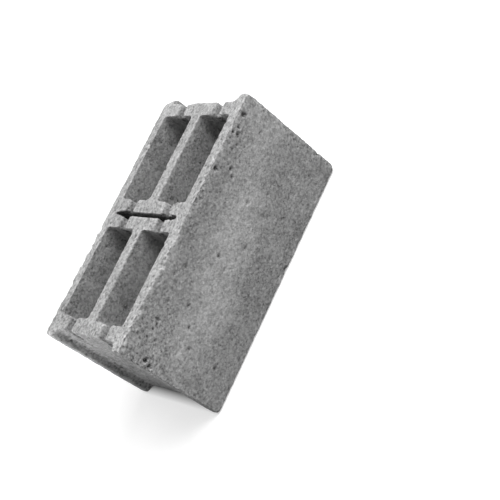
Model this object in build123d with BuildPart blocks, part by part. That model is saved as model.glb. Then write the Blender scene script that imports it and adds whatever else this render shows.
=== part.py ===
"""Hollow concrete block with four cells and a divided middle web, cast in one piece.

The block stands on its bed face with the cells upright. X runs along its length, Y across its width
and Z up, and the origin is at the middle of the underside. Lengths are in millimetres, angles in degrees.
"""

import os

from build123d import *

os.makedirs("parts", exist_ok=True)

# Overall size
block_length = 390
block_width = 190
block_height = 190

# Walls, measured at the upper bed face, where the cores leave them thinnest
face_shell = 19
long_web = 18
end_web = 21
half_web = 19

# Gap that divides the middle web, so that the block can be split into halves
slit_gap = 6
slit_tip_gap = 3
slit_clearance = 2

# Ears that the face shells leave standing at both ends
ear_reach = 14
ear_tip = 17
ear_flank_run = 6
ear_nose_radius = 5
ear_root_radius = 4

# Cores that leave the cells
core_draft = 0.5
cell_corner_radius = 6

# Scores that let each cross web break cleanly in the middle of a cell
score_depth = 3
score_width = 20
lobe_radius = 8
end_score_depth = 6
end_score_fade = 85

# Channels that lower the top of each cross web over its scores
channel_depth = 12
channel_mouth = 18
channel_floor = 11

# Worn arrises of the outer faces
arris_radius = 3

# How far a cut runs past the surface that it opens
overrun = 5

# Places worked out from the sizes above
end_x = block_length / 2
web_face_x = end_x - ear_reach
cell_outer_x = web_face_x - end_web
cell_inner_x = slit_gap / 2 + half_web
shell_y = block_width / 2
ear_tip_y = shell_y - ear_tip
ear_root_y = ear_tip_y - ear_flank_run
cell_near_y = long_web / 2
cell_far_y = shell_y - face_shell
cell_mid_y = (cell_near_y + cell_far_y) / 2
score_near_y = cell_mid_y - score_width / 2
score_far_y = cell_mid_y + score_width / 2
slit_tip_y = cell_far_y - slit_clearance

# One core, with a ridge down each end that scores the web beside it, copied into the four cells
with BuildPart() as cell_cores:
    with BuildSketch(Plane.XY.offset(block_height)) as cell_mouth:
        with BuildLine():
            Polyline(
                (cell_inner_x, cell_near_y),
                (cell_outer_x, cell_near_y),
                (cell_outer_x, score_near_y),
                (cell_outer_x + score_depth, cell_mid_y),
                (cell_outer_x, score_far_y),
                (cell_outer_x, cell_far_y),
                (cell_inner_x, cell_far_y),
                (cell_inner_x, score_far_y),
                (cell_inner_x - score_depth, cell_mid_y),
                (cell_inner_x, score_near_y),
                close=True,
            )
        make_face()
        rows = cell_mouth.vertices().group_by(Axis.Y)
        fillet(rows[1] + rows[-2], radius=lobe_radius)
        rows = cell_mouth.vertices().group_by(Axis.Y)
        fillet(rows[0] + rows[-1], radius=cell_corner_radius)
    extrude(amount=-(block_height + overrun), taper=core_draft)
    mirror(about=Plane.XZ)
    mirror(about=Plane.YZ)

# Blade that leaves the slit: wide at the scores, narrow between them and tapering towards the shells
with BuildPart() as slit_blade:
    with BuildSketch() as blade_plan:
        with BuildLine():
            Polyline(
                (slit_gap / 2, 0),
                (slit_gap / 2, score_near_y),
                (slit_gap / 2 + score_depth, cell_mid_y),
                (slit_tip_gap / 2, slit_tip_y),
                (0, slit_tip_y),
            )
            mirror(about=Plane.XZ)
            mirror(about=Plane.YZ)
        make_face()
        for lobe_y in (-score_near_y, score_near_y):
            lobes = blade_plan.vertices().filter_by_position(Axis.Y, lobe_y, lobe_y)
            fillet(lobes, radius=lobe_radius)
    extrude(amount=block_height + overrun)

# Scores on the outer faces of the end webs, deepest at the top and running out lower down
with BuildPart() as end_scores:
    for score_z, root_x in (
        (block_height, web_face_x - end_score_depth),
        (block_height - end_score_fade, web_face_x),
    ):
        with BuildSketch(Plane.XY.offset(score_z)):
            with BuildLine():
                Polyline(
                    (root_x, cell_mid_y),
                    (root_x + end_score_depth, score_far_y),
                    (root_x + end_score_depth + overrun, score_far_y),
                    (root_x + end_score_depth + overrun, score_near_y),
                    (root_x + end_score_depth, score_near_y),
                    close=True,
                )
            make_face()
    loft()
    mirror(about=Plane.XZ)
    mirror(about=Plane.YZ)

# Channels along the block, which cross only the cross webs because the cells are open between them
with BuildPart() as web_channels:
    with BuildSketch(Plane.YZ):
        with BuildLine():
            Polyline(
                (cell_mid_y - channel_mouth / 2, block_height),
                (cell_mid_y - channel_floor / 2, block_height - channel_depth),
                (cell_mid_y + channel_floor / 2, block_height - channel_depth),
                (cell_mid_y + channel_mouth / 2, block_height),
                close=True,
            )
        make_face()
    extrude(amount=end_x, both=True)
    mirror(about=Plane.XZ)

# The block: its plan with the ears, raised to its height, then opened by the cores and the blade
with BuildPart() as concrete_block:
    with BuildSketch() as plan:
        with BuildLine():
            Polyline(
                (0, shell_y),
                (end_x, shell_y),
                (end_x, ear_tip_y),
                (web_face_x, ear_root_y),
                (web_face_x, 0),
            )
            mirror(about=Plane.XZ)
            mirror(about=Plane.YZ)
        make_face()
        columns = plan.vertices().group_by(Axis.X)
        fillet(columns[0] + columns[-1], radius=ear_nose_radius)
        for root_y in (-ear_root_y, ear_root_y):
            roots = plan.vertices().filter_by_position(Axis.Y, root_y, root_y)
            fillet(roots, radius=ear_root_radius)
    extrude(amount=block_height)
    beds = concrete_block.faces().filter_by(Axis.Z)
    fillet(beds.edges(), radius=arris_radius)
    add(cell_cores.part, mode=Mode.SUBTRACT)
    add(slit_blade.part, mode=Mode.SUBTRACT)
    add(end_scores.part, mode=Mode.SUBTRACT)
    add(web_channels.part, mode=Mode.SUBTRACT)

concrete_block.part.label = "concrete_block"
export_step(concrete_block.part, "parts/concrete_block.step")
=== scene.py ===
"""Looks of the hollow concrete block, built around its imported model.

The block is one dry-cast piece. Its smooth solid is copied, remeshed finely, chipped, worn along the
arrises, grained and pitted, and then given a procedural concrete. The stage is a white floor in soft light.
"""

import math
import random

import bpy
import numpy as np
from bpy.props import FloatProperty, FloatVectorProperty, IntProperty, PointerProperty
from mathutils import Matrix, Vector, kdtree, noise


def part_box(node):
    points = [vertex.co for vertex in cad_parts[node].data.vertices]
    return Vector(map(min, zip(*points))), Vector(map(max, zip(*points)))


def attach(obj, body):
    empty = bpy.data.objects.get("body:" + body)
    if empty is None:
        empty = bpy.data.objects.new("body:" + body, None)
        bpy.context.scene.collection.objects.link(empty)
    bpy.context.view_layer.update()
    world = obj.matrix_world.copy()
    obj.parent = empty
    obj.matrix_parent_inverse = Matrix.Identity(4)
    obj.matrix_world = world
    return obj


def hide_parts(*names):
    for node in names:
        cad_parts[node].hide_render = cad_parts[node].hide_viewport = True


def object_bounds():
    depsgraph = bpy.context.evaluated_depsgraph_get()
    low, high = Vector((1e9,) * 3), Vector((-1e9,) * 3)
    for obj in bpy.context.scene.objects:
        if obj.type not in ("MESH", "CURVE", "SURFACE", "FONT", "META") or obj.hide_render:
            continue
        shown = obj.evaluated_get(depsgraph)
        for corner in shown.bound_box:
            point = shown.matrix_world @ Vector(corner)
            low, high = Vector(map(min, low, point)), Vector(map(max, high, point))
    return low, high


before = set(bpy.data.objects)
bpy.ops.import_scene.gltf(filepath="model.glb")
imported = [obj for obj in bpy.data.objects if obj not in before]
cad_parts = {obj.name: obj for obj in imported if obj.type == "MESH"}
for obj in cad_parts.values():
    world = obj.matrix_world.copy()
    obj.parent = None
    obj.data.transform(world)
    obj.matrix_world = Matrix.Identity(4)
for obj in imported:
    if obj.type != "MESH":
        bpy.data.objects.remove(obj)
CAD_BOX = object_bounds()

bl_info = {
    "name": "Hollow concrete block",
    "version": (1, 0, 0),
    "blender": (4, 5, 0),
    "location": "View3D > Sidebar > Block",
    "description": "Casts a worn, grainy concrete block around its solid and sets a white stage for it",
    "category": "Object",
}

MM = 0.001
NODE = "concrete_block"
BODY = "root"

# Open pores that show on the front shell: x and z from the middle of its lower edge, radius and depth in mm
FRONT_PITS = (
    (165, 178, 4.6, 4.6),
    (80, 180, 4.2, 4.2),
    (92, 159, 3.2, 3.4),
    (85, 152, 3.2, 3.4),
    (136, 182, 3.2, 3.4),
    (146, 177, 3.4, 3.6),
    (136, 174, 3.2, 3.2),
    (142, 169, 2.8, 2.8),
    (124, 168, 2.8, 2.2),
    (115, 172, 2.6, 2.0),
    (97, 174, 2.6, 2.0),
    (70, 160, 2.8, 2.2),
    (48, 172, 2.6, 2.0),
    (57, 156, 2.4, 1.8),
    (171, 161, 2.4, 1.8),
    (143, 147, 2.6, 1.8),
    (187, 93, 2.6, 2.0),
    (185, 85, 2.6, 2.0),
    (152, 20, 2.4, 1.8),
    (108, 17, 2.4, 1.8),
    (-53, 154, 3.2, 3.0),
    (-68, 165, 2.6, 2.4),
    (-64, 134, 2.4, 1.6),
    (-35, 98, 2.8, 2.0),
    (-3, 76, 2.4, 1.6),
    (-62, 38, 2.4, 1.6),
    (-108, 153, 2.6, 2.6),
    (-130, 159, 3.2, 3.4),
    (-137, 154, 3.2, 3.4),
    (-144, 157, 2.6, 2.8),
    (-147, 165, 2.4, 2.6),
    (-155, 146, 2.6, 2.8),
    (-159, 174, 2.6, 2.8),
    (-183, 146, 4.2, 5.0),
    (-187, 136, 4.2, 5.0),
    (-138, 40, 2.6, 1.8),
    (25, 4, 4.0, 3.0),
)

# Chips broken off the arrises: x, y and z from the middle of the underside, radius and depth in mm
CHIPS = (
    (195, -95, 190, 30, 6.0),
    (195, -95, 0, 34, 8.0),
    (195, 88, 190, 36, 12.0),
    (181, 24, 190, 15, 3.0),
    (181, 2, 190, 9, 3.0),
    (181, -20, 190, 9, 3.0),
    (53, 95, 190, 17, 4.0),
    (-99, -95, 190, 12, 3.4),
    (-10, -95, 190, 14, 3.2),
    (78, -95, 190, 13, 3.4),
    (-195, -88, 190, 20, 4.5),
    (-195, 92, 190, 18, 5.0),
    (-195, -95, 0, 24, 5.5),
    (25, -95, 0, 11, 4.5),
)

# Averaging rounds that tell how keen an edge is, and the wider ones that find the grooves for painted shade
KEEN_ROUNDS = 3
GROOVE_ROUNDS = 10

# Painted shade in grooves, channels, cell rims and deep cells, beside the slit, which is painted dark all
# over
GROOVE_SHADE_SHARE = 0.5
CHANNEL_SHADE_SHARE = 0.8
CELL_RIM_SHADE_SHARE = 0.12
CELL_DEPTH_SHADE_SHARE = 0.36

# Wear of an arris on the whole, how far it differs between stretches, and what of it the ears' noses get
WEAR_SHARE = 0.6
WEAR_SPREAD_SHARE = 0.9
NOSE_WEAR_SHARE = 0.15

# Least keenness of an inner edge, and least looseness of an arris, that small chips break off
KEEN_SHARE = 0.6
LOOSE_SHARE = 0.5

# Draws of the small chips: smallest and largest radius, depth beside the radius, and size inside the block
CHIP_SEED = 11
CHIP_RADIUS_SHARES = (0.4, 1.0)
CHIP_DEPTH_SHARES = (0.15, 0.35)
INNER_CHIP_SHARE = 0.6

# Draws of the scattered pores: smallest and largest radius, more of them small, and depth beside the radius
PIT_SEED = 4
PIT_RADIUS_SHARES = (0.35, 1.0)
PIT_RADIUS_CURVE = 1.5
PIT_DEPTH_SHARES = (0.5, 0.9)

# How far the rim of a pore wanders in and out, how wide its bends are, and how far out it can lie
PIT_RIM_SHARE = 0.7
PIT_BEND_SHARE = 0.9
PIT_REACH_SHARE = 1.5

# A pore sinks only the surface that faces about the same way as its middle
PIT_FACING = 0.3

# The painted shade of a shallow pore is lighter than its depth alone would make it
PIT_SHADE_CURVE = 1.3

# Openness of the inner faces, which the cores pressed smoother than the outer ones
PRESSED = -0.5

# Numbers of the colour sockets of a Mix node
MIX_A = 6
MIX_B = 7
MIX_RESULT = 2


def srgb(text):
    """Linear RGBA of an sRGB hex colour."""
    channels = [int(text[i:i + 2], 16) / 255 for i in (1, 3, 5)]
    linear = [c / 12.92 if c <= 0.04045 else ((c + 0.055) / 1.055) ** 2.4 for c in channels]
    return (*linear, 1.0)


class BlockFinish(bpy.types.PropertyGroup):
    """Sizes and colours of the cast surface"""

    mesh_step: FloatProperty(
        name="Mesh step", description="Edge length of the remeshed surface",
        default=2.0 * MM, unit="LENGTH", precision=4,
    )
    triangle_limit: IntProperty(
        name="Triangles", description="Most triangles that the block may have",
        default=196000, min=1000,
    )
    thinned_depth: FloatProperty(
        name="Thinned depth", description="How far inside the block the mesh may get coarser",
        default=17 * MM, unit="LENGTH", precision=4,
    )
    wear_rounds: IntProperty(
        name="Wear", description="Smoothing rounds on the most worn stretches of the outer arrises",
        default=38, min=0,
    )
    wear_reach: FloatProperty(
        name="Wear reach", description="How far from an outer arris the wear goes",
        default=13 * MM, unit="LENGTH", precision=4,
    )
    wear_patch: FloatProperty(
        name="Wear patch", description="Length of a worn stretch along an arris",
        default=38 * MM, unit="LENGTH", precision=4,
    )
    ear_place: FloatProperty(
        name="Ear place", description="How far from the middle of the width the noses of the ears lie",
        default=78 * MM, unit="LENGTH", precision=4,
    )
    crumble_height: FloatProperty(
        name="Crumbling", description="Depth of the crumbs lost from the edges",
        default=2.6 * MM, unit="LENGTH", precision=4,
    )
    crumble_size: FloatProperty(
        name="Crumb width", description="Width of the crumbs lost from the edges",
        default=7 * MM, unit="LENGTH", precision=4,
    )
    inner_share: FloatProperty(
        name="Inner share", description="How far the inner edges crumble, beside the outer arrises",
        default=0.4, min=0.0, max=1.0, subtype="FACTOR",
    )
    lower_share: FloatProperty(
        name="Lower share", description="How far the lower arrises crumble, beside the upper ones",
        default=0.45, min=0.0, max=1.0, subtype="FACTOR",
    )
    chip_count: IntProperty(
        name="Small chips",
        description="Small chips along the outer arrises, and as many along the inner edges",
        default=80, min=0,
    )
    chip_radius: FloatProperty(
        name="Chip radius", description="Radius of the largest small chip",
        default=6 * MM, unit="LENGTH", precision=4,
    )
    sag_height: FloatProperty(
        name="Unevenness", description="Depth of the broad hollows of the faces",
        default=0.9 * MM, unit="LENGTH", precision=4,
    )
    sag_size: FloatProperty(
        name="Unevenness width", description="Width of the broad hollows of the faces",
        default=34 * MM, unit="LENGTH", precision=4,
    )
    grain_height: FloatProperty(
        name="Grain depth", description="Depth between the grains that stand out of the surface",
        default=1.3 * MM, unit="LENGTH", precision=4,
    )
    grain_size: FloatProperty(
        name="Grain width", description="Width of the grains that stand out of the surface",
        default=5 * MM, unit="LENGTH", precision=4,
    )
    open_height: FloatProperty(
        name="Open grain", description="Added grain depth where the grain is open",
        default=2.2 * MM, unit="LENGTH", precision=4,
    )
    open_reach: FloatProperty(
        name="Open reach", description="How far from the upper bed and the arrises the grain is open",
        default=17 * MM, unit="LENGTH", precision=4,
    )
    bed_share: FloatProperty(
        name="Bed share", description="How open the grain of the upper bed is, beside the arrises",
        default=0.45, min=0.0, max=1.0, subtype="FACTOR",
    )
    swell_room: FloatProperty(
        name="Swell room",
        description="Room before a wall at which it is fully swollen against the grain's depth",
        default=3.4 * MM, unit="LENGTH", precision=4,
    )
    # Painted shade in the cells is darkest at this depth below the upper bed
    cell_shade_depth: FloatProperty(
        name="Dark depth", description="Depth below the upper bed at which the cells are darkest",
        default=90 * MM, unit="LENGTH", precision=4,
    )
    # The channels and the slit set here are where shade is painted darker
    channel_place: FloatProperty(
        name="Channel place", description="How far from the middle of the width the channels lie",
        default=42.5 * MM, unit="LENGTH", precision=4,
    )
    channel_width: FloatProperty(
        name="Channel width", description="Width of the channels over the webs",
        default=15 * MM, unit="LENGTH", precision=4,
    )
    slit_size: FloatVectorProperty(
        name="Slit",
        description="Length along the block and across it of the space that holds the slit's walls",
        default=(14 * MM, 160 * MM), size=2, unit="LENGTH", precision=4,
    )
    pit_count: IntProperty(
        name="Pores", description="Open pores scattered over the whole block",
        default=520, min=0,
    )
    pit_radius: FloatProperty(
        name="Pore radius", description="Radius of the largest scattered pore",
        default=3.4 * MM, unit="LENGTH", precision=4,
    )
    # Painted shade in the pores grows with their depth up to this one
    pit_shade_depth: FloatProperty(
        name="Dark pore", description="Depth from which a pore is fully dark",
        default=3.4 * MM, unit="LENGTH", precision=4,
    )
    dark_paste: FloatVectorProperty(
        name="Dark paste", description="Cement paste in the pores and between the grains",
        default=srgb("#474747"), size=4, subtype="COLOR",
    )
    light_paste: FloatVectorProperty(
        name="Light paste", description="Dry cement paste and rubbed grains",
        default=srgb("#dcdcdc"), size=4, subtype="COLOR",
    )


class BlockStage(bpy.types.PropertyGroup):
    """Camera and light of the studio view"""

    camera_eye: FloatVectorProperty(
        name="Camera", description="Place of the camera",
        default=(-0.3757, -1.2703, 0.9415), subtype="TRANSLATION", unit="LENGTH",
    )
    camera_aim: FloatVectorProperty(
        name="Aim", description="Point in the middle of the picture",
        default=(0.0319, -0.0500, 0.0417), subtype="TRANSLATION", unit="LENGTH",
    )
    camera_roll: FloatProperty(
        name="Roll", description="Turn of the camera about its own line of sight",
        default=math.radians(-53.47), subtype="ANGLE",
    )
    camera_lens: FloatProperty(
        name="Lens", description="Focal length of the camera",
        default=81.18, unit="CAMERA",
    )
    camera_sensor: FloatProperty(
        name="Sensor", description="Width of the camera's sensor",
        default=36.0, unit="CAMERA",
    )
    key_power: FloatProperty(
        name="Key light", description="Power of the large lamp above the block",
        default=198.0, unit="POWER",
    )
    fill_power: FloatProperty(
        name="Fill light", description="Power of the lamp beside the camera",
        default=2.0, unit="POWER",
    )
    end_power: FloatProperty(
        name="End light", description="Power of the small lamp that faces the left end",
        default=0.17, unit="POWER",
    )
    back_power: FloatProperty(
        name="Back light", description="Power of the lamp behind the block",
        default=8.0, unit="POWER",
    )
    sky_strength: FloatProperty(
        name="Room light", description="Strength of the even light from all around",
        default=0.26, min=0.0,
    )
    floor_size: FloatProperty(
        name="Floor", description="Side of the square floor",
        default=12.0, unit="LENGTH",
    )


def select_only(piece):
    """Make one object active and the only one selected."""
    bpy.ops.object.select_all(action="DESELECT")
    piece.select_set(True)
    bpy.context.view_layer.objects.active = piece


def finish_with(piece, kind, **settings):
    """Add a modifier with its settings and apply it."""
    modifier = piece.modifiers.new(kind.title(), kind)
    for name, value in settings.items():
        setattr(modifier, name, value)
    bpy.ops.object.modifier_apply(modifier=modifier.name)


def merged_copy(node, name):
    """A copy of a solid's mesh as an object of its own, with its loose triangles merged."""
    piece = bpy.data.objects.new(name, node.data.copy())
    bpy.context.collection.objects.link(piece)
    piece.data.materials.clear()
    select_only(piece)
    bpy.ops.object.mode_set(mode="EDIT")
    bpy.ops.mesh.select_all(action="SELECT")
    bpy.ops.mesh.remove_doubles(threshold=0.01 * MM)
    bpy.ops.object.mode_set(mode="OBJECT")
    return piece


def clouds(name, size, detail):
    """A cloud texture whose patches have a real width."""
    texture = bpy.data.textures.new(name, "CLOUDS")
    texture.noise_scale = size
    texture.noise_depth = detail
    texture.noise_basis = "IMPROVED_PERLIN"
    return texture


def vertex_values(mesh, name):
    """Places or normals of all vertices as rows of three."""
    values = np.empty(len(mesh.vertices) * 3)
    mesh.vertices.foreach_get(name, values)
    return values.reshape(-1, 3)


def place_vertices(mesh, places):
    """Put every vertex at its row of places."""
    mesh.vertices.foreach_set("co", places.ravel())
    mesh.update()


def keep_value(mesh, name, values):
    """Keep one number for each vertex, for the material."""
    mesh.attributes.new(name, "FLOAT", "POINT").data.foreach_set("value", values)


def weigh(piece, name, weights):
    """Give the piece a vertex group with these weights."""
    group = piece.vertex_groups.new(name=name)
    for index in np.flatnonzero(weights):
        group.add([int(index)], float(weights[index]), "REPLACE")
    return group.name


def face_gaps(places):
    """Distances of each place from the nearest end, shell and bed of the block, shortest first."""
    low, high = np.array(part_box(NODE))
    return np.sort(np.minimum(places - low, high - places), axis=1)


def bulges(mesh, rounds):
    """How far each vertex stands out of the mean surface: above zero on edges, below it in grooves."""
    places = vertex_values(mesh, "co")
    ends = np.empty(len(mesh.edges) * 2, dtype=np.int64)
    mesh.edges.foreach_get("vertices", ends)
    starts, stops = ends[0::2], ends[1::2]
    count = len(places)
    neighbours = np.bincount(ends, minlength=count)[:, None]
    smooth = places
    for _ in range(rounds):
        sums = [
            np.bincount(starts, column[stops], count) + np.bincount(stops, column[starts], count)
            for column in smooth.T
        ]
        smooth = np.stack(sums, axis=1) / neighbours
    return ((places - smooth) * vertex_values(mesh, "normal")).sum(axis=1)


def painted_recess_shade(mesh, finish):
    """How much painted shade each vertex gets, from nothing to one.

    Painted shade: grooves, corners and channels are dark, cells get darker downwards, and the slit is dark
    all the way.
    """
    groove_depth = 1.5 * finish.mesh_step
    channel_fade = 6 * finish.mesh_step
    channel_bottom = finish.cell_shade_depth / 3
    rim = 2 * finish.mesh_step
    places = vertex_values(mesh, "co")
    below_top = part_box(NODE)[1].z - places[:, 2]
    groove = -bulges(mesh, GROOVE_ROUNDS) / groove_depth
    beside = np.abs(np.abs(places[:, 1]) - finish.channel_place) - finish.channel_width / 2
    channel = np.clip(1 - beside / finish.mesh_step, 0, 1) * np.clip(below_top / channel_fade, 0, 1)
    channel *= below_top < channel_bottom
    inside = face_gaps(places)[:, 0] > rim
    deep = np.clip(below_top / finish.cell_shade_depth, 0, 1)
    cell = inside * (CELL_RIM_SHADE_SHARE + CELL_DEPTH_SHADE_SHARE * deep)
    within = np.abs(places[:, :2]) < np.array(finish.slit_size) / 2
    slit = within.all(axis=1) & (below_top > rim)
    darkest = np.maximum.reduce((GROOVE_SHADE_SHARE * groove, CHANNEL_SHADE_SHARE * channel, cell, slit))
    return np.clip(darkest, 0, 1)


def chip_off(places, normals, centre, radius, depth):
    """Break a shallow bowl off the edge around a centre."""
    offsets = places - centre
    reach = np.linalg.norm(offsets, axis=1)
    near = np.flatnonzero(reach < radius)
    outward = normals[near].mean(axis=0)
    outward /= np.linalg.norm(outward)
    bowl = depth * (1 - (reach[near] / radius) ** 2)
    lost = np.maximum(offsets[near] @ outward + bowl, 0)
    places[near] -= lost[:, None] * outward


def break_corners(piece):
    """Break off the listed chips."""
    mesh = piece.data
    places = vertex_values(mesh, "co")
    normals = vertex_values(mesh, "normal")
    for x, y, z, radius, depth in CHIPS:
        chip_off(places, normals, np.array((x, y, z)) * MM, radius * MM, depth * MM)
    place_vertices(mesh, places)


def wear_arrises(piece, finish):
    """Round the outer arrises, more on some stretches, most at corners and least at the ears' noses."""
    low, high = np.array(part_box(NODE))
    corner_reach = 2 * finish.wear_reach
    places = vertex_values(piece.data, "co")
    _, arris_gap, corner_gap = face_gaps(places).T
    end_gap = np.minimum(places - low, high - places)[:, 0]
    nose_gap = np.hypot(end_gap, np.abs(places[:, 1]) - finish.ear_place)
    patches = np.array([noise.noise(place / finish.wear_patch) for place in map(Vector, places)])
    near_corner = np.clip(1 - corner_gap / corner_reach, 0, 1)
    weights = np.clip(1 - arris_gap / finish.wear_reach, 0, 1)
    weights *= np.clip(WEAR_SHARE + WEAR_SPREAD_SHARE * patches + near_corner, 0, 1)
    weights *= np.clip(nose_gap / finish.wear_reach, NOSE_WEAR_SHARE, 1)
    worn = weigh(piece, "worn", weights)
    finish_with(piece, "SMOOTH", factor=0.5, iterations=finish.wear_rounds, vertex_group=worn)
    piece.vertex_groups.clear()


def crumble_edges(piece, finish, keen):
    """Crumble every edge and break small chips off it, less inside the block than along its arrises."""
    mesh = piece.data
    places = vertex_values(mesh, "co")
    arris_gap = face_gaps(places)[:, 1]
    arris = np.clip(1 - arris_gap / (2 * finish.mesh_step), 0, 1)
    arris *= np.clip(places[:, 2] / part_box(NODE)[1].z, finish.lower_share, 1)
    inner = (keen > KEEN_SHARE) & (arris_gap > finish.wear_reach)
    crumbs = clouds("crumbs", finish.crumble_size, 2)
    loose = weigh(piece, "loose", np.maximum(arris, finish.inner_share * inner * keen))
    finish_with(
        piece, "DISPLACE", texture=crumbs, texture_coords="LOCAL", vertex_group=loose,
        strength=finish.crumble_height, mid_level=1.0,
    )
    piece.vertex_groups.clear()
    places = vertex_values(mesh, "co")
    normals = vertex_values(mesh, "normal")
    draw = random.Random(CHIP_SEED)
    for stretch, largest in (
        (arris > LOOSE_SHARE, finish.chip_radius),
        (inner, INNER_CHIP_SHARE * finish.chip_radius),
    ):
        edge = np.flatnonzero(stretch)
        for _ in range(finish.chip_count):
            centre = places[edge[draw.randrange(len(edge))]].copy()
            radius = largest * draw.uniform(*CHIP_RADIUS_SHARES)
            chip_off(places, normals, centre, radius, radius * draw.uniform(*CHIP_DEPTH_SHARES))
    place_vertices(mesh, places)


def openness(places, finish):
    """How open the grain is: one along the outer arrises, less on the upper bed and nothing elsewhere."""
    below_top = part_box(NODE)[1].z - places[:, 2]
    arris_gap = face_gaps(places)[:, 1]
    bed = finish.bed_share * np.clip(1 - below_top / finish.open_reach, 0, 1)
    return np.clip(np.maximum(1 - arris_gap / finish.open_reach, bed), 0, 1)


def room_outside(mesh):
    """How far each vertex can move along its normal before it leaves the solid's box."""
    low, high = np.array(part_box(NODE))
    places = vertex_values(mesh, "co")
    normals = vertex_values(mesh, "normal")
    gaps = np.where(normals > 0, high - places, places - low)
    least_slope = 0.001
    slopes = np.maximum(np.abs(normals), least_slope)
    return (gaps / slopes).min(axis=1)


def roughen(piece, finish):
    """Press broad hollows and a coarse grain into the surface, and more where the grain is open.

    The walls inside the box are swollen by the mean depth first, so that they keep their thickness.
    """
    mesh = piece.data
    places = vertex_values(mesh, "co")
    loose = openness(places, finish)
    mean_depth = (finish.sag_height + finish.grain_height + finish.open_height * loose) / 2
    swell = mean_depth * np.clip(room_outside(mesh) / finish.swell_room, 0, 1)
    place_vertices(mesh, places + swell[:, None] * vertex_values(mesh, "normal"))
    pressed = face_gaps(places)[:, 0] > finish.open_reach
    keep_value(mesh, "open", np.where(pressed, PRESSED, loose))
    everywhere = weigh(piece, "everywhere", np.ones(len(loose)))
    open_grain = weigh(piece, "open_grain", loose)
    for name, size, detail, height, group in (
        ("sag", finish.sag_size, 1, finish.sag_height, everywhere),
        ("grain", finish.grain_size, 2, finish.grain_height, everywhere),
        ("open_grain", finish.grain_size, 2, finish.open_height, open_grain),
    ):
        finish_with(
            piece, "DISPLACE", texture=clouds(name, size, detail), texture_coords="LOCAL",
            vertex_group=group, strength=height, mid_level=1.0,
        )
    piece.vertex_groups.clear()


def scattered_pits(places, finish):
    """Places, radii and depths of the pores that lie anywhere on the block."""
    draw = random.Random(PIT_SEED)
    for _ in range(finish.pit_count):
        place = Vector(places[draw.randrange(len(places))])
        radius = finish.pit_radius * draw.uniform(*PIT_RADIUS_SHARES) ** PIT_RADIUS_CURVE
        yield place, radius, radius * draw.uniform(*PIT_DEPTH_SHARES)


def sink_pits(piece, finish):
    """Sink the open pores into the surface and keep their depth for the painted shade in them."""
    low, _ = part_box(NODE)
    mesh = piece.data
    places = vertex_values(mesh, "co")
    normals = vertex_values(mesh, "normal")
    pits = [
        (Vector((x * MM, low.y, low.z + z * MM)), radius * MM, depth * MM)
        for x, z, radius, depth in FRONT_PITS
    ]
    pits += scattered_pits(places, finish)
    tree = kdtree.KDTree(len(places))
    for index, place in enumerate(places):
        tree.insert(place, index)
    tree.balance()
    sunk = np.zeros(len(places))
    for place, radius, depth in pits:
        nearest = tree.find(place)[1]
        for co, index, _ in tree.find_range(place, PIT_REACH_SHARE * radius):
            rim = radius * (1 + PIT_RIM_SHARE * noise.noise(co / (PIT_BEND_SHARE * radius)))
            share = 1 - ((co - place).length / rim) ** 2
            if share > 0 and normals[index] @ normals[nearest] > PIT_FACING:
                sunk[index] = max(sunk[index], depth * share)
    place_vertices(mesh, places - sunk[:, None] * normals)
    # Painted shade in the pores, darker where they sink deeper
    keep_value(mesh, "pore", np.clip(sunk / finish.pit_shade_depth, 0, 1) ** PIT_SHADE_CURVE)


def thin_inside(piece, finish):
    """Make the mesh coarser deep inside the cells, where little shows, to keep to the triangle limit."""
    mesh = piece.data
    inside = face_gaps(vertex_values(mesh, "co"))[:, 0] > finish.thinned_depth
    mesh.calc_loop_triangles()
    finish_with(
        piece, "DECIMATE", decimate_type="COLLAPSE", vertex_group=weigh(piece, "inside", inside),
        ratio=min(1.0, finish.triangle_limit / len(mesh.loop_triangles)),
    )
    piece.vertex_groups.clear()


def keep_inside(piece):
    """Hold every vertex within the solid's own box."""
    low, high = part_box(NODE)
    place_vertices(piece.data, np.clip(vertex_values(piece.data, "co"), low, high))


def add_node(tree, kind, settings=None, links=None):
    """Add one node, with its properties and socket values set and its input sockets linked.

    Sockets go by name or, where a name isn't plain, by number.
    """
    node = tree.nodes.new(kind)
    for name, value in (settings or {}).items():
        if isinstance(name, int) or name in node.inputs:
            node.inputs[name].default_value = value
        else:
            setattr(node, name, value)
    for name, socket in (links or {}).items():
        tree.links.new(socket, node.inputs[name])
    return node


def soft_spot(tree, place, middle, reach, lean=0):
    """One in the middle of a spot and less outwards, to nothing at its reach along each axis, in mm."""
    spot = add_node(
        tree, "ShaderNodeMapping", {
            "vector_type": "TEXTURE", "Location": Vector(middle) * MM,
            "Rotation": (0, math.radians(lean), 0), "Scale": Vector(reach) * MM,
        }, {"Vector": place},
    )
    fade = add_node(
        tree, "ShaderNodeTexGradient", {"gradient_type": "SPHERICAL"}, {"Vector": spot.outputs[0]},
    )
    return fade.outputs["Fac"]


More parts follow.
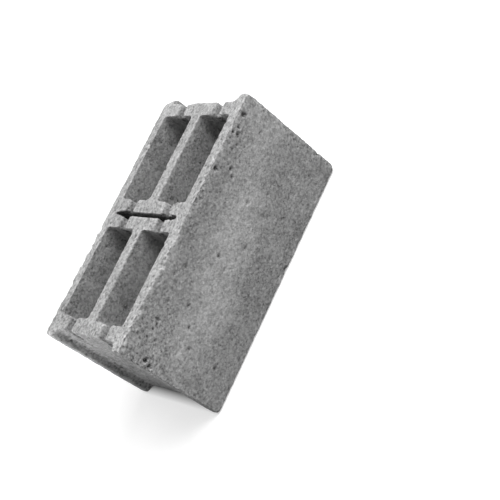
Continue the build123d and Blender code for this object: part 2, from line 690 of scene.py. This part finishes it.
def dry_cast_concrete(finish):
    """Dry-cast concrete: a damp mix pressed in a mould and stripped at once, so its skin is open and sandy.

    The eye sees a matte neutral grey with fine sand in it, single darker and lighter grains, black pinholes
    and broad lighter clouds.
    """
    material = bpy.data.materials.new("dry_cast_concrete")
    material.use_nodes = True
    tree = material.node_tree
    shader = tree.nodes["Principled BSDF"]
    place = add_node(tree, "ShaderNodeTexCoord").outputs["Object"]

    # Borders of the clouds on the front shell, which wander by up to 40 mm
    drift = 40 * MM
    wander = add_node(tree, "ShaderNodeTexNoise", {"Scale": 1 / drift, "Detail": 2}, {"Vector": place})
    drifted = add_node(
        tree, "ShaderNodeVectorMath", {"operation": "MULTIPLY_ADD", 1: (drift, 0, drift)},
        {0: wander.outputs["Color"], 2: place},
    ).outputs[0]

    # The base tone, lifted by a paler band across the front shell and two paler clouds at its left
    band = soft_spot(tree, drifted, (45, -95, 132), (290, 60, 58), -10)
    upper_cloud = soft_spot(tree, drifted, (-105, -95, 138), (120, 60, 75))
    lower_cloud = soft_spot(tree, drifted, (-130, -95, 20), (150, 60, 75))
    shifts = []
    for spot, low, high in ((band, 0.40, 0.70), (upper_cloud, 0.0, 0.17), (lower_cloud, 0.0, 0.10)):
        shifts.append(add_node(
            tree, "ShaderNodeMapRange",
            {"interpolation_type": "SMOOTHSTEP", "To Min": low, "To Max": high}, {"Value": spot},
        ))

    # Patches of tone all over, each with its width in millimetres and how far it moves the tone
    for width, reach in ((95, 0.26), (24, 0.24), (9, 0.22)):
        patch = add_node(
            tree, "ShaderNodeTexNoise", {"Scale": 1 / (width * MM), "Detail": 2}, {"Vector": place},
        )
        shifts.append(add_node(
            tree, "ShaderNodeMapRange", {"To Min": -reach / 2, "To Max": reach / 2},
            {"Value": patch.outputs["Fac"]},
        ))

    # Rubbed edges and open grain, which are paler, and painted shade in the grooves, channels, cells, slit
    # and pores
    for name, reach in (("rubbed", 0.12), ("open", 0.07), ("recess_shade", -0.26), ("pore", -0.5)):
        share = add_node(tree, "ShaderNodeAttribute", {"attribute_name": name})
        shifts.append(add_node(
            tree, "ShaderNodeMapRange", {"To Max": reach}, {"Value": share.outputs["Fac"]},
        ))

    # Sand and paste in clumps about 3.4 mm wide
    sand = add_node(
        tree, "ShaderNodeTexNoise", {"Scale": 1 / (3.4 * MM), "Detail": 5, "Roughness": 0.65},
        {"Vector": place},
    )
    contrast = add_node(
        tree, "ShaderNodeMapRange", {"To Min": -0.46, "To Max": 0.46}, {"Value": sand.outputs["Fac"]},
    )

    # The sand shows more where the grain is open, on a washed spot near the left end and in the paler band
    loose = add_node(tree, "ShaderNodeAttribute", {"attribute_name": "open"})
    gain = add_node(
        tree, "ShaderNodeMapRange", {"From Min": -1.0, "To Min": 0.0, "To Max": 2.0},
        {"Value": loose.outputs["Fac"]},
    )
    washed = soft_spot(tree, drifted, (-150, -95, 165), (85, 60, 60))
    for spot, more in ((washed, 1.5), (band, 0.5)):
        added = add_node(tree, "ShaderNodeMapRange", {"To Max": more}, {"Value": spot})
        gain = add_node(
            tree, "ShaderNodeMath", {"operation": "ADD"}, {0: gain.outputs[0], 1: added.outputs[0]},
        )
    shifts.append(add_node(
        tree, "ShaderNodeMath", {"operation": "MULTIPLY"}, {0: contrast.outputs[0], 1: gain.outputs[0]},
    ))

    # Grains about 2.6 mm wide that run into each other, each with a tone of its own
    grains = add_node(
        tree, "ShaderNodeTexVoronoi", {"feature": "SMOOTH_F1", "Scale": 1 / (2.6 * MM), "Smoothness": 0.35},
        {"Vector": place},
    )
    mineral = add_node(tree, "ShaderNodeSeparateColor", None, {0: grains.outputs["Color"]})
    shifts.append(add_node(
        tree, "ShaderNodeMapRange", {"To Min": -0.13, "To Max": 0.13}, {"Value": mineral.outputs[0]},
    ))

    # Pinholes under a millimetre wide, drawn about 2 mm wide so that they show
    holes = add_node(tree, "ShaderNodeTexVoronoi", {"Scale": 1 / (11 * MM)}, {"Vector": place})
    shifts.append(add_node(
        tree, "ShaderNodeMapRange", {"From Min": 0.05, "From Max": 0.13, "To Min": -0.28, "To Max": 0.0},
        {"Value": holes.outputs["Distance"]},
    ))

    # All tones added up, from dark paste at nothing to light paste at one
    tone = shifts[0].outputs[0]
    for shift in shifts[1:]:
        tone = add_node(
            tree, "ShaderNodeMath", {"operation": "ADD"}, {0: tone, 1: shift.outputs[0]},
        ).outputs[0]
    colour = add_node(
        tree, "ShaderNodeMix", {"data_type": "RGBA", MIX_A: finish.dark_paste, MIX_B: finish.light_paste},
        {0: tone},
    )
    tree.links.new(colour.outputs[MIX_RESULT], shader.inputs["Base Color"])

    # Relief of the same sand, too fine for the mesh
    relief = add_node(
        tree, "ShaderNodeBump", {"Strength": 0.8, "Distance": 1.2 * MM}, {"Height": sand.outputs["Fac"]},
    )
    tree.links.new(relief.outputs["Normal"], shader.inputs["Normal"])
    shader.inputs["Roughness"].default_value = 0.95
    shader.inputs["IOR"].default_value = 1.5
    shader.inputs["Specular IOR Level"].default_value = 0.2
    return material


class OBJECT_OT_cast_block(bpy.types.Operator):
    """Cast the worn and grainy concrete block over its solid"""

    bl_idname = "object.cast_concrete_block"
    bl_label = "Cast concrete block"
    bl_options = {"REGISTER", "UNDO"}

    def execute(self, context):
        finish = context.scene.block_finish
        keen_height = 0.5 * finish.mesh_step
        block = merged_copy(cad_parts[NODE], "cast_block")
        finish_with(block, "REMESH", mode="VOXEL", voxel_size=finish.mesh_step)
        finish_with(block, "SMOOTH", factor=0.5, iterations=2)
        keen = np.clip(bulges(block.data, KEEN_ROUNDS) / keen_height, 0, 1)
        keep_value(block.data, "rubbed", keen)
        # Painted shade in the grooves, channels, cells and slit
        keep_value(block.data, "recess_shade", painted_recess_shade(block.data, finish))
        break_corners(block)
        wear_arrises(block, finish)
        crumble_edges(block, finish, keen)
        roughen(block, finish)
        sink_pits(block, finish)
        thin_inside(block, finish)
        keep_inside(block)
        select_only(block)
        bpy.ops.object.shade_smooth()
        block.data.materials.append(dry_cast_concrete(finish))
        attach(block, BODY)
        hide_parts(NODE)
        return {"FINISHED"}


def seen_ray(tree):
    """One for rays that see a surface, straight, in a mirror or through glass, and nothing for the others."""
    rays = add_node(tree, "ShaderNodeLightPath")
    either = add_node(
        tree, "ShaderNodeMath", {"operation": "MAXIMUM"},
        {0: rays.outputs["Is Camera Ray"], 1: rays.outputs["Is Glossy Ray"]},
    )
    seen = add_node(
        tree, "ShaderNodeMath", {"operation": "MAXIMUM"},
        {0: either.outputs[0], 1: rays.outputs["Is Transmission Ray"]},
    )
    return seen.outputs[0]


def white_paper():
    """White paper, which is matte and is seen as plain white, with the block's soft shadow left on it."""
    material = bpy.data.materials.new("white_paper")
    material.use_nodes = True
    tree = material.node_tree
    shader = tree.nodes["Principled BSDF"]
    place = add_node(tree, "ShaderNodeTexCoord").outputs["Object"]
    seen = seen_ray(tree)

    # The paper throws less light on the block than it shows
    tint = add_node(
        tree, "ShaderNodeMix", {"data_type": "RGBA", MIX_A: srgb("#7a7a7a"), MIX_B: srgb("#c8c8c8")},
        {0: seen},
    )
    tree.links.new(tint.outputs[MIX_RESULT], shader.inputs["Base Color"])
    shader.inputs["Roughness"].default_value = 1.0
    shader.inputs["Specular IOR Level"].default_value = 0.0

    # Near the block the shadow shows, and from 0.7 to 2.2 m away it fades into white
    away = add_node(tree, "ShaderNodeVectorMath", {"operation": "LENGTH"}, {0: place})
    white = add_node(
        tree, "ShaderNodeMapRange", {"From Min": 0.7, "From Max": 2.2, "To Min": 0.62, "To Max": 1.0},
        {"Value": away.outputs["Value"]},
    )

    # Under the block the paper shows only the light that reaches it
    sides = add_node(tree, "ShaderNodeVectorMath", {"operation": "ABSOLUTE"}, {0: place})
    beside = add_node(
        tree, "ShaderNodeVectorMath", {"operation": "SUBTRACT", 1: CAD_BOX[1]}, {0: sides.outputs[0]},
    )
    axes = add_node(tree, "ShaderNodeSeparateXYZ", None, {0: beside.outputs[0]})
    outside = add_node(
        tree, "ShaderNodeMath", {"operation": "MAXIMUM"}, {0: axes.outputs[0], 1: axes.outputs[1]},
    )
    clear = add_node(
        tree, "ShaderNodeMapRange", {"From Min": -15 * MM, "From Max": 0.0}, {"Value": outside.outputs[0]},
    )
    glow = seen
    for share in (white, clear):
        glow = add_node(
            tree, "ShaderNodeMath", {"operation": "MULTIPLY"}, {0: glow, 1: share.outputs[0]},
        ).outputs[0]
    shader.inputs["Emission Color"].default_value = srgb("#ffffff")
    tree.links.new(glow, shader.inputs["Emission Strength"])
    return material


def studio_floor(size):
    """A square of white paper under the block."""
    bpy.ops.mesh.primitive_plane_add(size=size)
    floor = bpy.context.object
    floor.name = "studio_floor"
    floor.data.materials.append(white_paper())


def studio_room(strength):
    """Even room light that is seen as plain white."""
    world = bpy.data.worlds.new("studio_room")
    bpy.context.scene.world = world
    world.use_nodes = True
    tree = world.node_tree
    sky = tree.nodes["Background"]
    sky.inputs["Color"].default_value = srgb("#ffffff")
    level = add_node(
        tree, "ShaderNodeMapRange", {"To Min": strength, "To Max": 1.0}, {"Value": seen_ray(tree)},
    )
    tree.links.new(level.outputs[0], sky.inputs["Strength"])


def area_lamp(name, place, aim, size, spread, power):
    """A square lamp at a place, turned towards its aim, whose beam spreads over so many degrees."""
    bpy.ops.object.light_add(type="AREA", location=place)
    lamp = bpy.context.object
    lamp.name = name
    lamp.data.size = size
    lamp.data.spread = math.radians(spread)
    lamp.data.energy = power
    lamp.rotation_euler = (Vector(aim) - Vector(place)).to_track_quat("-Z", "Y").to_euler()


def photo_camera(stage):
    """The camera at the photograph's viewing angle, rolled as the block leans in it."""
    eye, aim = Vector(stage.camera_eye), Vector(stage.camera_aim)
    bpy.ops.object.camera_add()
    camera = bpy.context.object
    camera.name = "photo_camera"
    camera.data.lens = stage.camera_lens
    camera.data.sensor_width = stage.camera_sensor
    level = (aim - eye).to_track_quat("-Z", "Y").to_matrix().to_4x4()
    camera.matrix_world = Matrix.Translation(eye) @ level @ Matrix.Rotation(stage.camera_roll, 4, "Z")
    bpy.context.scene.camera = camera


class SCENE_OT_set_block_stage(bpy.types.Operator):
    """Set the white floor, the lamps and the camera"""

    bl_idname = "scene.set_block_stage"
    bl_label = "Set block stage"
    bl_options = {"REGISTER", "UNDO"}

    def execute(self, context):
        stage = context.scene.block_stage
        context.scene.view_settings.view_transform = "Standard"
        studio_floor(stage.floor_size)
        studio_room(stage.sky_strength)
        middle = (CAD_BOX[0] + CAD_BOX[1]) / 2
        left_end = (CAD_BOX[0].x, 0.05, CAD_BOX[1].z)

        # Each lamp with its place and aim, the length of its side, its spread in degrees and its power
        for lamp in (
            ("key_lamp", (1.87, -1.10, 3.19), middle, 3.1, 180, stage.key_power),
            ("fill_lamp", (-0.2, -1.6, 0.9), middle, 1.2, 180, stage.fill_power),
            ("end_lamp", (-0.75, 0.17, 0.19), left_end, 0.12, 38, stage.end_power),
            ("back_lamp", (0.3, 1.7, 0.7), middle, 1.2, 180, stage.back_power),
        ):
            area_lamp(*lamp)
        photo_camera(stage)
        return {"FINISHED"}


class VIEW3D_PT_concrete_block(bpy.types.Panel):
    """Sidebar panel of the concrete block"""

    bl_idname = "VIEW3D_PT_concrete_block"
    bl_label = "Concrete block"
    bl_space_type = "VIEW_3D"
    bl_region_type = "UI"
    bl_category = "Block"

    def draw(self, context):
        for group, operator in (
            (context.scene.block_finish, OBJECT_OT_cast_block.bl_idname),
            (context.scene.block_stage, SCENE_OT_set_block_stage.bl_idname),
        ):
            column = self.layout.column()
            for name in group.bl_rna.properties.keys():
                if name not in ("rna_type", "name"):
                    column.prop(group, name)
            column.operator(operator)


CLASSES = (
    BlockFinish,
    BlockStage,
    OBJECT_OT_cast_block,
    SCENE_OT_set_block_stage,
    VIEW3D_PT_concrete_block,
)


def register():
    """Make the settings, operators and panel known."""
    for cls in CLASSES:
        bpy.utils.register_class(cls)
    bpy.types.Scene.block_finish = PointerProperty(type=BlockFinish)
    bpy.types.Scene.block_stage = PointerProperty(type=BlockStage)


def unregister():
    """Take away what register made known."""
    del bpy.types.Scene.block_stage
    del bpy.types.Scene.block_finish
    for cls in reversed(CLASSES):
        bpy.utils.unregister_class(cls)


def main():
    """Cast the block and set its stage."""
    register()
    bpy.ops.object.cast_concrete_block()
    bpy.ops.scene.set_block_stage()


if __name__ == "__main__":
    main()
